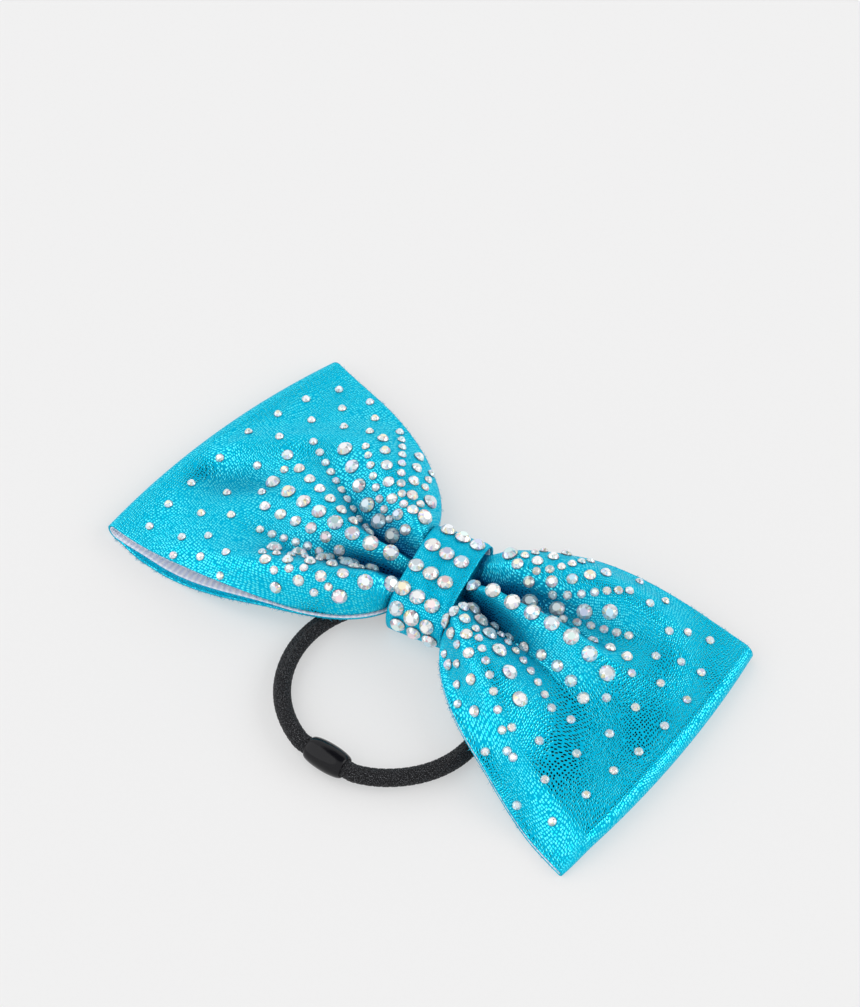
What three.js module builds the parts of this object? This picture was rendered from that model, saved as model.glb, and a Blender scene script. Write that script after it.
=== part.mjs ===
// Cheer hair bow: a folded loop of foil-dotted stretch fabric with a ribbon lining, gathered by
// thread, wrapped by a centre band that also holds a round hair elastic with its joining bead.
// Millimetres, +Z up. The bow lies on its back: the underside of the band is at z = 0, X runs
// from the left fold to the right fold, and the hair elastic lies towards -Y.
import * as THREE from 'three';

// ---- Driving dimensions -------------------------------------------------------------------
const outlineMiddle = [-1.15, 1.153]; // middle of the bow in plan, from the point it is drawn from
const foldBulge = 3;             // how much further out a fold is at its middle
const knotY = 2.4;               // the knot sits a little off the middle of the width
const knotTwist = THREE.MathUtils.degToRad(16);  // the knot is turned about Z
const fabricThickness = 0.5;
const liningThickness = 0.4;
const layerGap = 0.15;

const neckExit = 7.5;            // where the pleats leave the band, from the knot's middle
const neckHalf = 11.9;           // half width of the gathered neck
const neckUnderside = 6.6;       // lowest point of the gathered neck
const neckMiddle = 10.3;         // mean height of the front pleats under the band
const neckShare = 0.27;          // pleat height under the band, as a share of the loop's
const loopReach = 66;            // from the neck to a fold
const fullReach = 14;            // the loop is at its full height from here
const middleFallsFrom = 26;      // and comes down to the fold from here
const pleatsFadeFrom = 20;
const foldHeight = 4.9;          // height of the front at a fold's corners
const crown = { height: 1.6, from: 8, to: 44 };  // extra height along the middle of a loop

const bandHalf = 15;             // half width of the band, across the neck
const bandTop = 13.8;
const bandWaist = 6;             // height where the band is widest
const bandWidth = 14.8;          // along the neck
const bandLiningWidth = 13.8;
const bandShoulder = 3;          // power of the band's rounded top
const bandCorner = 5;            // reach of the band's rounded lower corners

const elasticRadius = 2.15;
const coreRadius = 1.45;
const ringRadius = 25.3;         // centreline of the hair elastic
const ringHeight = 3.6;
const ringMiddle = [1.0, -30.4]; // ring centre from the knot's middle, along and across the neck
const channelChord = 22.8;       // the elastic runs straight through the band at this distance
const beadChord = 24.2;          // and straight through the bead at this one
const beadAngle = THREE.MathUtils.degToRad(-100);
const beadLength = 10.4;
const beadRadius = 3.5;
const beadLip = 0.35;            // width of the bead's flat rim round its bore
const endGap = 0.004;            // angle from the bead's middle to each end of the elastic
const straightFacing = 0.8;      // cosine of the angle within which a straight run may act

const bigStone = { radius: 1.95, height: 1.3 };
const tableShare = 0.55;         // a crystal's flat table, as a share of its radius
// Each row of crystals on the band: how far over the top its middle one lies from the far side,
// and how far along the neck.
const bandStoneRows = [[7.8, 0.6], [14.7, -0.4], [21.9, -1.3], [29.1, -1.4], [34.2, -0.8], [38.3, 0.3]];
const bandStoneSpacing = 4.25;
const bandRowSlant = 0.17;       // how far a row moves over the top for each millimetre along
const ridgeStones = 8;
const ridgeStart = 0.09;         // first and last crystal of a ridge, as shares of the loop
const ridgeEnd = 0.7;

// ---- Materials ----------------------------------------------------------------------------
const material = (color, roughness, metalness) =>
  new THREE.MeshStandardMaterial({ color, roughness, metalness });
const cyanFabric = material(0x10b4dc, 0.5, 0.25);
const whiteRibbon = material(0xeef0fa, 0.85, 0);
const whiteThread = material(0xf2f2f2, 0.8, 0);
const blackBraid = material(0x17181b, 0.8, 0);
const blackRubber = material(0x0d0d0e, 0.7, 0);
const blackPlastic = material(0x0b0b0d, 0.15, 0);
const crystal = material(0xe8eef2, 0.08, 0.3);

const bow = new THREE.Group();
bow.position.set(-outlineMiddle[0], -outlineMiddle[1], 0);

function addMesh(name, geometry, surface, parent = bow) {
  const mesh = new THREE.Mesh(geometry, surface);
  mesh.name = name;
  parent.add(mesh);
  return mesh;
}

// ---- The shape of the folded ribbon -------------------------------------------------------
const knot = new THREE.Vector2(0, knotY);
const alongNeck = new THREE.Vector2(Math.cos(knotTwist), Math.sin(knotTwist));
const acrossNeck = new THREE.Vector2(-alongNeck.y, alongNeck.x);

// For each loop: the two inner control points of the cubics that the cloth's threads follow in
// plan, as distance outwards and y, at five places from the lower edge to the upper; the fold's
// two corners; the places and heights of the pleats' valleys and crests across the width; and
// the distances out from the neck where the pleats are flat and between which the back comes
// down from over the hair elastic.
const loops = {
  left: {
    side: -1,
    near: [[10, -29], [23.5, -17.5], [27, -8], [26.5, 6.5], [14, 27]],
    far: [[46, -37], [43, -30.5], [42, -4], [45, 23.5], [40.5, 34.5]],
    foldLower: [75.1, -36.7],
    foldUpper: [69.5, 38.9],
    pleats: [[-1, -3.8], [-0.72, 5], [-0.33, -3.3], [0.08, 3], [0.31, -3.3], [0.64, 2.9], [1, -3.8]],
    middle: 12,
    pleatsFadeTo: 53,
    backFalls: [28, 54],
  },
  right: {
    side: 1,
    near: [[15, -22.5], [18, -8.5], [29, 3.5], [37, 15], [13, 28.5]],
    far: [[43.5, -33], [44, -11], [46, 13], [45.5, 33], [35.5, 39]],
    foldLower: [72.6, -37.1],
    foldUpper: [67.7, 39.4],
    pleats: [[-1, -4], [-0.65, 4.5], [-0.26, -3.9], [0.04, 3.7], [0.36, -4.5], [0.72, 2.5], [1, -2.7]],
    middle: 12.7,
    pleatsFadeTo: 57,
    backFalls: [39, 60],
  },
};

const ease = (from, to, value) => THREE.MathUtils.smoothstep(value, from, to);

// A smooth curve through evenly spaced values, from t = -1 to t = 1.
function acrossSpline(values, t) {
  const last = values.length - 1;
  const slopes = values.map((_, i) => (values[Math.min(i + 1, last)] - values[Math.max(i - 1, 0)]) / 2);
  slopes[0] = (3 * (values[1] - values[0]) - slopes[1]) / 2;
  slopes[last] = (3 * (values[last] - values[last - 1]) - slopes[last - 1]) / 2;
  const place = ((t + 1) / 2) * last;
  const i = Math.min(Math.floor(place), last - 1);
  const f = place - i;
  return (2 * f ** 3 - 3 * f ** 2 + 1) * values[i] + (f ** 3 - 2 * f ** 2 + f) * slopes[i]
    + (3 * f ** 2 - 2 * f ** 3) * values[i + 1] + (f ** 3 - f ** 2) * slopes[i + 1];
}

// Height over the loop's middle: a half cosine wave from each valley to the next crest.
function pleatRelief(pleats, t) {
  const next = Math.max(1, pleats.findIndex(([place]) => place >= t));
  const [fromPlace, fromHeight] = pleats[next - 1];
  const [toPlace, toHeight] = pleats[next];
  const share = (t - fromPlace) / (toPlace - fromPlace);
  const wave = (1 - Math.cos(Math.PI * share)) / 2;
  return THREE.MathUtils.lerp(fromHeight, toHeight, wave);
}

// Height of the front's outer surface, at a distance out from the neck.
function frontHeight(loop, reach, t) {
  const middle = neckMiddle + (loop.middle - neckMiddle) * ease(0, fullReach, reach)
    - (loop.middle - foldHeight) * ease(middleFallsFrom, loopReach, reach);
  const share = neckShare + (1 - neckShare) * ease(0, fullReach, reach)
    - ease(pleatsFadeFrom, loop.pleatsFadeTo, reach);
  const crowning = crown.height * ease(crown.from, crown.to, reach) * (1 - t * t);
  return middle + share * pleatRelief(loop.pleats, t) + crowning;
}

// Height of the back's outer surface: level over the hair elastic, then down to the floor.
const backHeight = (loop, reach) => neckUnderside * (1 - ease(...loop.backFalls, reach));

const foldRadius = (loop, t) => frontHeight(loop, loopReach, t) / 2;

function planPoint(loop, u, t) {
  const { side, near, far, foldLower, foldUpper } = loop;
  const start = knot.clone()
    .addScaledVector(alongNeck, side * neckExit)
    .addScaledVector(acrossNeck, neckHalf * t);
  const control = [near, far].map((points) => new THREE.Vector2(
    side * acrossSpline(points.map(([outward]) => outward), t),
    acrossSpline(points.map(([, y]) => y), t),
  ));
  const share = (t + 1) / 2;
  const foldX = THREE.MathUtils.lerp(foldLower[0], foldUpper[0], share)
    + foldBulge * (1 - t * t) - foldRadius(loop, t);
  const end = new THREE.Vector2(side * foldX, THREE.MathUtils.lerp(foldLower[1], foldUpper[1], share));
  return new THREE.CubicBezierCurve(start, control[0], control[1], end).getPoint(u);
}

function frontPoint(loop, u, t) {
  const { x, y } = planPoint(loop, u, t);
  return new THREE.Vector3(x, y, frontHeight(loop, u * loopReach, t));
}

function backPoint(loop, u, t) {
  const { x, y } = planPoint(loop, u, t);
  return new THREE.Vector3(x, y, backHeight(loop, u * loopReach));
}

function foldPoint(loop, angle, t) {
  const { x, y } = planPoint(loop, 1, t);
  const radius = foldRadius(loop, t);
  return new THREE.Vector3(x + loop.side * radius * Math.sin(angle), y, radius * (1 + Math.cos(angle)));
}

function neckPoint(height, t) {
  const { x, y } = knot.clone().addScaledVector(acrossNeck, neckHalf * t);
  return new THREE.Vector3(x, y, height);
}

// The stations round the whole loop: front from left to right, right fold, back, left fold.
function ribbonStations() {
  const frontSteps = 11;
  const backSteps = 6;
  const foldSteps = 4;
  const crowding = 1.15;         // the stations lie closer together near the neck
  const spread = (steps, i) => (i / steps) ** crowding;
  const stations = [];
  for (let i = frontSteps; i >= 0; i--) {
    stations.push((t) => frontPoint(loops.left, spread(frontSteps, i), t));
  }
  stations.push((t) => neckPoint((frontHeight(loops.left, 0, t) + frontHeight(loops.right, 0, t)) / 2, t));
  for (let i = 0; i <= frontSteps; i++) {
    stations.push((t) => frontPoint(loops.right, spread(frontSteps, i), t));
  }
  for (let i = 1; i < foldSteps; i++) {
    stations.push((t) => foldPoint(loops.right, (Math.PI * i) / foldSteps, t));
  }
  for (let i = backSteps; i >= 0; i--) {
    stations.push((t) => backPoint(loops.right, spread(backSteps, i), t));
  }
  stations.push((t) => neckPoint(neckUnderside, t));
  for (let i = 0; i <= backSteps; i++) {
    stations.push((t) => backPoint(loops.left, spread(backSteps, i), t));
  }
  for (let i = foldSteps - 1; i > 0; i--) {
    stations.push((t) => foldPoint(loops.left, (Math.PI * i) / foldSteps, t));
  }
  return stations;
}

// A sheet that runs round the closed stations, between two depths under the outer surface.
function loopSheet(stations, widthSteps, outerDepth, innerDepth) {
  const columns = stations.length;
  const rows = widthSteps + 1;
  const grid = stations.map((station) =>
    Array.from({ length: rows }, (_, j) => station(-1 + (2 * j) / widthSteps)));
  const normalAt = (i, j) => {
    const before = grid[(i + columns - 1) % columns][j];
    const after = grid[(i + 1) % columns][j];
    const below = grid[i][Math.max(j - 1, 0)];
    const above = grid[i][Math.min(j + 1, rows - 1)];
    return after.clone().sub(before).cross(above.clone().sub(below)).normalize();
  };
  const positions = [];
  for (const depth of [outerDepth, innerDepth]) {
    for (let i = 0; i < columns; i++) {
      for (let j = 0; j < rows; j++) {
        const point = grid[i][j].clone().addScaledVector(normalAt(i, j), -depth);
        positions.push(point.x, point.y, point.z);
      }
    }
  }
  const innerStart = columns * rows;
  const index = [];
  const quad = (a, b, c, d) => index.push(a, b, c, a, c, d);
  for (let i = 0; i < columns; i++) {
    const here = i * rows;
    const next = ((i + 1) % columns) * rows;
    for (let j = 0; j < widthSteps; j++) {
      quad(here + j, next + j, next + j + 1, here + j + 1);
      quad(innerStart + here + j, innerStart + here + j + 1,
        innerStart + next + j + 1, innerStart + next + j);
    }
    quad(here, innerStart + here, innerStart + next, next);
    quad(next + widthSteps, innerStart + next + widthSteps,
      innerStart + here + widthSteps, here + widthSteps);
  }
  const geometry = new THREE.BufferGeometry();
  geometry.setAttribute('position', new THREE.Float32BufferAttribute(positions, 3));
  geometry.setIndex(index);
  return geometry;
}

// ---- The knot: gathering thread and centre band -------------------------------------------
const bandOutline = { halfWidth: bandHalf, bottom: 0, top: bandTop, waist: bandWaist, corner: bandCorner };
const threadOutline = { halfWidth: 12.7, bottom: 6.1, top: 12.35, waist: 8.6, corner: 0.5 };
const threadWidth = 3;
const threadThickness = 0.35;

const knotGroup = new THREE.Group();
knotGroup.position.set(knot.x, knot.y, 0);
knotGroup.rotation.z = knotTwist;
bow.add(knotGroup);

// A point of the domed outline round the neck, at an angle from the +across end.
function domePoint(halfWidth, top, waist, angle) {
  const round = (value) => Math.sign(value) * Math.abs(value) ** (2 / bandShoulder);
  return new THREE.Vector2(
    halfWidth * round(Math.cos(angle)),
    waist + (top - waist) * round(Math.sin(angle)),
  );
}

// The closed outline of a wrap: flat underside, rounded lower corners and domed top.
function wrapOutline({ halfWidth, bottom, top, waist, corner }, inset) {
  const points = [];
  const topSteps = 20;
  const cornerSteps = 4;
  for (let i = 0; i <= topSteps; i++) {
    points.push(domePoint(halfWidth - inset, top - inset, waist, (Math.PI * i) / topSteps));
  }
  for (const end of [-1, 1]) {
    for (let i = 1; i <= cornerSteps; i++) {
      const share = end < 0 ? i : cornerSteps + 1 - i;
      const angle = (Math.PI / 2) * (share / cornerSteps);
      points.push(new THREE.Vector2(
        end * (halfWidth - inset - corner + corner * Math.cos(angle)),
        waist - (waist - bottom - inset) * Math.sin(angle),
      ));
    }
  }
  return points;
}

// A closed wrap of even thickness, some way inside the given outline, extruded along the neck.
function wrap(outline, inset, thickness, length) {
  const shape = new THREE.Shape(wrapOutline(outline, inset));
  shape.holes.push(new THREE.Path(wrapOutline(outline, inset + thickness)));
  const geometry = new THREE.ExtrudeGeometry(shape, { depth: length, bevelEnabled: false });
  // The outline's across and up go to Y and Z, and the extrusion runs along X.
  geometry.translate(0, 0, -length / 2);
  geometry.applyMatrix4(new THREE.Matrix4().makeBasis(
    new THREE.Vector3(0, 1, 0), new THREE.Vector3(0, 0, 1), new THREE.Vector3(1, 0, 0),
  ));
  return geometry;
}

// ---- Crystals -----------------------------------------------------------------------------
// A flat-backed crystal: a cone frustum of eight sides with a flat table.
function stoneGeometry({ radius, height }) {
  const geometry = new THREE.CylinderGeometry(radius * tableShare, radius, height, 8, 1);
  geometry.rotateX(Math.PI / 2);
  geometry.translate(0, 0, height / 2);
  return geometry;
}

const stoneGap = 0.35;

function addStone(name, size, point, normal, parent) {
  const stone = addMesh(name, stoneGeometry(size), crystal, parent);
  stone.position.copy(point).addScaledVector(normal, stoneGap);
  stone.quaternion.setFromUnitVectors(new THREE.Vector3(0, 0, 1), normal);
}

function addRidgeStones(label, loop) {
  const small = 0.01;
  for (let i = 0; i < ridgeStones; i++) {
    const u = THREE.MathUtils.lerp(ridgeStart, ridgeEnd, i / (ridgeStones - 1));
    const along = frontPoint(loop, u + small, 0).sub(frontPoint(loop, u - small, 0));
    const across = frontPoint(loop, u, small).sub(frontPoint(loop, u, -small));
    const normal = along.cross(across).normalize().multiplyScalar(loop.side);
    addStone(`crystal_${label}_ridge_${i + 1}`, bigStone, frontPoint(loop, u, 0), normal, bow);
  }
}

// Slightly slanted rows over the domed top of the band, three crystals to a row.
function addBandStones() {
  const samples = 240;
  const points = Array.from({ length: samples + 1 }, (_, i) =>
    domePoint(bandHalf, bandTop, bandWaist, (Math.PI * i) / samples));
  const travelled = [0];
  for (let i = 1; i <= samples; i++) {
    travelled.push(travelled[i - 1] + points[i].distanceTo(points[i - 1]));
  }
  bandStoneRows.forEach(([over, middle], row) => {
    for (let column = -1; column <= 1; column++) {
      const offset = column * bandStoneSpacing;
      const wanted = Math.min(over + bandRowSlant * offset, travelled[samples]);
      const i = Math.max(1, travelled.findIndex((length) => length >= wanted));
      const tangent = points[i].clone().sub(points[i - 1]).normalize();
      const normal = new THREE.Vector3(0, tangent.y, -tangent.x);
      const point = new THREE.Vector3(middle + offset, points[i].x, points[i].y);
      addStone(`crystal_band_${row + 1}_${column + 2}`, bigStone, point, normal, knotGroup);
    }
  });
}

// ---- Hair elastic and bead ----------------------------------------------------------------
// The smaller of two lengths, with the corner between them rounded over a blend length.
function softMin(a, b, blend) {
  const closeness = Math.max(blend - Math.abs(a - b), 0) / blend;
  return Math.min(a, b) - (closeness * closeness * blend) / 4;
}

// The elastic's centreline: a circle with a straight run in the band and one in the bead, cut
// open at the bead's middle, where its two ends meet.
class ElasticPath extends THREE.Curve {
  getPoint(share, target = new THREE.Vector3()) {
    const angle = beadAngle + endGap + share * (2 * Math.PI - 2 * endGap);
    const facing = (centre) => Math.cos(angle - centre);
    let radius = ringRadius;
    if (facing(Math.PI / 2) > straightFacing) {
      radius = softMin(radius, channelChord / facing(Math.PI / 2), 1);
    }
    if (facing(beadAngle) > straightFacing) {
      radius = softMin(radius, beadChord / facing(beadAngle), 0.3);
    }
    return target.set(radius * Math.cos(angle), radius * Math.sin(angle), 0);
  }
}

const circle = (radius, sides, PathType) =>
  new PathType(Array.from({ length: sides }, (_, i) => {
    const angle = (2 * Math.PI * i) / sides;
    return new THREE.Vector2(radius * Math.cos(angle), radius * Math.sin(angle));
  }));

function sweep(shape) {
  const steps = 48;
  return new THREE.ExtrudeGeometry(shape, { steps, bevelEnabled: false, extrudePath: new ElasticPath() });
}

const ringGroup = new THREE.Group();
ringGroup.position.set(ringMiddle[0], ringMiddle[1], ringHeight);
knotGroup.add(ringGroup);

function addElastic() {
  const sleeve = circle(elasticRadius, 12, THREE.Shape);
  sleeve.holes.push(circle(coreRadius + layerGap, 8, THREE.Path));
  addMesh('elastic_braided_sleeve', sweep(sleeve), blackBraid, ringGroup);
  addMesh('elastic_rubber_core', sweep(circle(coreRadius, 8, THREE.Shape)), blackRubber, ringGroup);
}

// An oval bead with a bore for the elastic, turned so that its axis follows the elastic.
function addBead() {
  const bore = elasticRadius + layerGap;
  const profile = [new THREE.Vector2(bore, -beadLength / 2)];
  const steps = 8;
  for (let i = 0; i <= steps; i++) {
    const angle = Math.PI * (i / steps - 0.5);
    profile.push(new THREE.Vector2(
      bore + beadLip + (beadRadius - bore - beadLip) * Math.cos(angle),
      (beadLength / 2) * Math.sin(angle),
    ));
  }
  profile.push(new THREE.Vector2(bore, beadLength / 2));
  profile.push(profile[0].clone());
  const bead = addMesh('elastic_joining_bead', new THREE.LatheGeometry(profile, 20), blackPlastic, ringGroup);
  bead.position.set(beadChord * Math.cos(beadAngle), beadChord * Math.sin(beadAngle), 0);
  bead.rotation.z = beadAngle;
}

// ---- Assembly -----------------------------------------------------------------------------
const widthSteps = 24;
const stations = ribbonStations();
const liningDepth = fabricThickness + layerGap;
addMesh('outer_fabric', loopSheet(stations, widthSteps, 0, fabricThickness), cyanFabric);
addMesh('ribbon_lining',
  loopSheet(stations, widthSteps, liningDepth, liningDepth + liningThickness), whiteRibbon);

addMesh('gathering_thread', wrap(threadOutline, 0, threadThickness, threadWidth), whiteThread, knotGroup);
addMesh('band_lining', wrap(bandOutline, liningDepth, liningThickness, bandLiningWidth), whiteRibbon, knotGroup);
addMesh('band_fabric', wrap(bandOutline, 0, fabricThickness, bandWidth), cyanFabric, knotGroup);

addRidgeStones('left', loops.left);
addRidgeStones('right', loops.right);
addBandStones();
addElastic();
addBead();

export default bow;
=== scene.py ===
"""Cheer hair bow: foil-dotted cyan fabric loops with crystals, a centre band and a hair elastic.

Lengths in the shape functions are millimetres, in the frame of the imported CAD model: +Z up, X from
the left fold to the right fold, and the hair elastic towards -Y. Meshes are made in metres.
"""
import math

import bpy
import numpy as np
from mathutils import Matrix, Vector


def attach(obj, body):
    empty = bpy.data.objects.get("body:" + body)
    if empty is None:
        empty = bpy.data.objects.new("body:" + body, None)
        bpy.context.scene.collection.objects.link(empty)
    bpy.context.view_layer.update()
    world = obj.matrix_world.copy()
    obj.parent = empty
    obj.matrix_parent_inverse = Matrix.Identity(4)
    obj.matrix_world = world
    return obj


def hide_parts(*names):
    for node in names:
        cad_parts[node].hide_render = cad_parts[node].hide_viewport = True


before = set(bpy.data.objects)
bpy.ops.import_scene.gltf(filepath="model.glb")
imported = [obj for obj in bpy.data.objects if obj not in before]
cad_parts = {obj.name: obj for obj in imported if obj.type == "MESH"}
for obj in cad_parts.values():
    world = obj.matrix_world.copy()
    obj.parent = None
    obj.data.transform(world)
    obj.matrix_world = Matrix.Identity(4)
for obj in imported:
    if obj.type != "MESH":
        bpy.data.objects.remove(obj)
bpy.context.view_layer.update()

MM = 0.001

# ---- Driving dimensions ----
# The outline, the folds, the band and the elastic are as in the CAD source. The pleats are deeper
# than there beside the band, and the lining is thinner.
OUTLINE_MIDDLE = np.array([-1.15, 1.153])
KNOT = np.array([0.0, 2.4])
KNOT_TWIST = math.radians(16)
ALONG = np.array([math.cos(KNOT_TWIST), math.sin(KNOT_TWIST)])
ACROSS = np.array([-ALONG[1], ALONG[0]])
FABRIC_THICKNESS = 0.5
LINING_THICKNESS = 0.25
LAYER_GAP = 0.15

NECK_EXIT = 7.5
NECK_HALF = 11.9
NECK_UNDERSIDE = 6.6
NECK_MIDDLE = 10.3
NECK_SHARE = 0.46
NECK_BREADTH = 0.36
BREADTH_FROM, BREADTH_TO = 20.0, 50.0
LOOP_REACH = 66.0
FULL_REACH = 8.0
FOLD_HEIGHT = 4.9
FOLD_BULGE = 3.0
PRESSED_HEIGHT = 1.9      # least height of the front over the back
PRESSED_FROM, PRESSED_TO = 2.0, 14.0  # the right loop's lower edge comes down to it out here,
PRESSED_EDGE = 0.72       # beyond this share of the half width
BACK_SHOWS = 1.0          # the left loop's back edge lies this far below the front's
LINING_TUCK = 0.5         # and the lining's this far above it
NECK_CLOSER = 0.08        # how much closer to the ridge the valleys lie at the neck,
VALLEY_PLACE = 0.19       # in full at this share of the half width
CREST_PLACE = 0.45        # and no more from this one outwards
CLOSER_TO = 16.0          # the loop's own amount is reached this far out
CLOSER_FADE = 24.0        # and fades over this length
# The soft crease across the left loop starts on the fold, this far from the fold's middle, and
# runs in this direction (outwards, up the ribbon's width): a ridge, with a dip further inwards.
CREASE_START = -2.5
CREASE_DIRECTION = np.array([-0.73, 0.683])
CREASE_HEIGHT = 1.7
CREASE_DEPTH = 1.6
CREASE_WIDTH = 4.5
DIP_INWARD = 9.0
HALF_AT_FOLD = 38.0
GATHER_DEPTH = 0.16
DENT_DEPTH = 0.55
CROWN_HEIGHT = 1.6
CROWN_FROM, CROWN_TO = 8.0, 44.0
MIDDLE_FALLS_FROM = 26.0
PLEATS_FADE_FROM = 20.0

BAND_HALF = 15.0
BAND_TOP = 13.8
BAND_WAIST = 6.0
BAND_WIDTH = 14.8
BAND_LINING_WIDTH = 13.8
BAND_SHOULDER = 3.0
BAND_CORNER = 5.0

ELASTIC_RADIUS = 2.15
RING_RADIUS = 25.3
RING_HEIGHT = 3.6
RING_MIDDLE = (1.0, -30.4)
CHANNEL_CHORD = 22.8
BEAD_CHORD = 24.2
BEAD_ANGLE = math.radians(-100)
BEAD_LENGTH = 10.4
BEAD_RADIUS = 3.5

# For each loop: the two inner control points of the cubics that the cloth's threads follow in
# plan, as distance outwards from the knot and y, at five places from the lower edge to the upper;
# the fold's two corners; the places and heights of the pleats' valleys and crests across the
# width; the height of the pleats' middle; the distance out from the neck where the pleats are
# flat; the distances between which the back comes down from over the hair elastic; and how much
# closer to the ridge the upper and the lower valley lie part way out, and how far out that lasts.
LOOPS = {
    -1: {
        "near": ((10, -29), (23.5, -17.5), (27, -8), (26.5, 6.5), (14, 27)),
        "far": ((46, -37), (43, -30.5), (42, -4), (45, 23.5), (40.5, 34.5)),
        "fold_lower": (75.1, -36.7), "fold_upper": (69.5, 38.9),
        "pleats": ((-1, -3.8), (-0.72, 5.1), (-0.33, -3.3), (0.08, 1.7), (0.31, -3.3), (0.64, 2.9),
                   (1, -3.8)),
        "middle": 12.0, "pleats_fade_to": 53.0, "back_falls": (28.0, 54.0),
        "valleys_close": ((0.10, 14.0), (0.12, 12.0)),
    },
    1: {
        "near": ((15, -22.5), (18, -8.5), (29, 3.5), (37, 15), (13, 28.5)),
        "far": ((43.5, -33), (44, -11), (46, 13), (45.5, 33), (35.5, 39)),
        "fold_lower": (72.6, -37.1), "fold_upper": (67.7, 39.4),
        "pleats": ((-1, -4.0), (-0.65, 4.5), (-0.26, -3.9), (0.04, 3.7), (0.36, -4.5), (0.72, 2.5),
                   (1, -2.7)),
        "middle": 12.7, "pleats_fade_to": 57.0, "back_falls": (39.0, 60.0),
        "valleys_close": ((0.17, 28.0), (0.04, 20.0)),
    },
}


# ---- The shape of the folded ribbon ----
def ease(start, end, value):
    share = np.clip((value - start) / (end - start), 0.0, 1.0)
    return share * share * (3 - 2 * share)


def across_spline(values, t):
    """A smooth curve through evenly spaced values, from t = -1 to t = 1."""
    values = np.asarray(values, float)
    slopes = np.zeros(len(values))
    slopes[1:-1] = (values[2:] - values[:-2]) / 2
    slopes[0] = (3 * (values[1] - values[0]) - slopes[1]) / 2
    slopes[-1] = (3 * (values[-1] - values[-2]) - slopes[-2]) / 2
    place = (t + 1) / 2 * (len(values) - 1)
    i = np.clip(np.floor(place).astype(int), 0, len(values) - 2)
    f = place - i
    return ((2 * f ** 3 - 3 * f ** 2 + 1) * values[i] + (f ** 3 - 2 * f ** 2 + f) * slopes[i]
            + (3 * f ** 2 - 2 * f ** 3) * values[i + 1] + (f ** 3 - f ** 2) * slopes[i + 1])


def pleat_relief(pleats, t, breadth):
    """Height over the loop's middle, from each valley to the next crest; breadth below 1 makes
    the crests broad and the valleys narrow."""
    places = np.array([place for place, _ in pleats], float)
    heights = np.array([height for _, height in pleats], float)
    i = np.clip(np.searchsorted(places, t, side="right") - 1, 0, len(places) - 2)
    share = np.clip((t - places[i]) / (places[i + 1] - places[i]), 0, 1)
    rising = heights[i + 1] > heights[i]
    wave = (1 - np.cos(math.pi * np.where(rising, share, 1 - share))) / 2
    low = np.minimum(heights[i], heights[i + 1])
    return low + np.abs(heights[i + 1] - heights[i]) * wave ** breadth


def pleat_place(side, reach, t):
    """The place across the pleats: the valleys lie closer to the ridge for some way out."""
    place = t.copy()
    for half, (closer, far) in zip((1, -1), LOOPS[side]["valleys_close"]):
        shift = NECK_CLOSER + (closer - NECK_CLOSER) * ease(0, CLOSER_TO, reach)
        shift *= 1 - ease(far, far + CLOSER_FADE, reach)
        rise = ease(0.0, VALLEY_PLACE, half * t)
        place += half * shift * rise * (1 - ease(VALLEY_PLACE, CREST_PLACE, half * t))
    return place


def front_height(side, reach, t):
    """Height of the front's outer surface, at a distance out from the neck."""
    loop = LOOPS[side]
    middle = (NECK_MIDDLE + (loop["middle"] - NECK_MIDDLE) * ease(0, FULL_REACH, reach)
              - (loop["middle"] - FOLD_HEIGHT) * ease(MIDDLE_FALLS_FROM, LOOP_REACH, reach))
    share = (NECK_SHARE + (1 - NECK_SHARE) * ease(0, FULL_REACH, reach)
             - ease(PLEATS_FADE_FROM, loop["pleats_fade_to"], reach))
    crown = CROWN_HEIGHT * ease(CROWN_FROM, CROWN_TO, reach) * (1 - t * t)
    breadth = NECK_BREADTH + (1 - NECK_BREADTH) * ease(BREADTH_FROM, BREADTH_TO, reach)
    place = pleat_place(side, reach, t)
    height = middle + share * pleat_relief(loop["pleats"], place, breadth) + crown
    pressed = back_height(side, reach, t) + PRESSED_HEIGHT
    height = np.maximum(height, pressed)
    if side > 0:
        height += ease(PRESSED_FROM, PRESSED_TO, reach) * ease(PRESSED_EDGE, 1.0, -t) * (pressed - height)
    return height


def neck_front_height(along, t):
    share = (along / NECK_EXIT + 1) / 2
    return (1 - share) * front_height(-1, 0.0, t) + share * front_height(1, 0.0, t)


def back_height(side, reach, t):
    return NECK_UNDERSIDE * (1 - ease(*LOOPS[side]["back_falls"], reach)) + 0 * t


def fold_radius(side, t):
    return front_height(side, LOOP_REACH, t) / 2


def plan(side, u, t):
    """Where a thread of the fabric is in plan, from the band (u = 0) to the fold (u = 1)."""
    loop = LOOPS[side]
    start = (KNOT[:, None] + side * NECK_EXIT * ALONG[:, None]
             + NECK_HALF * t[None, :] * ACROSS[:, None])
    controls = []
    for name in ("near", "far"):
        x = side * across_spline([point[0] for point in loop[name]], t)
        y = across_spline([point[1] for point in loop[name]], t)
        controls.append(np.stack([x, y]))
    lower, upper = loop["fold_lower"], loop["fold_upper"]
    end_x = side * ((lower[0] + upper[0]) / 2 + (upper[0] - lower[0]) / 2 * t
                    + FOLD_BULGE * (1 - t * t) - fold_radius(side, t))
    end_y = (lower[1] + upper[1]) / 2 + (upper[1] - lower[1]) / 2 * t
    end = np.stack([end_x, end_y])
    v = 1 - u
    drawn = v ** 3 * start + 3 * v * v * u * controls[0] + 3 * v * u * u * controls[1] + u ** 3 * end
    return drawn - OUTLINE_MIDDLE[:, None]


def loop_row(side, u, t, height_at):
    x, y = plan(side, u, t)
    return np.stack([x, y, height_at(side, u * LOOP_REACH, t)], axis=1)


def fold_row(side, angle, t):
    x, y = plan(side, 1.0, t)
    radius = fold_radius(side, t)
    return np.stack([x + side * radius * math.sin(angle), y, radius * (1 + math.cos(angle))], axis=1)


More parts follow.
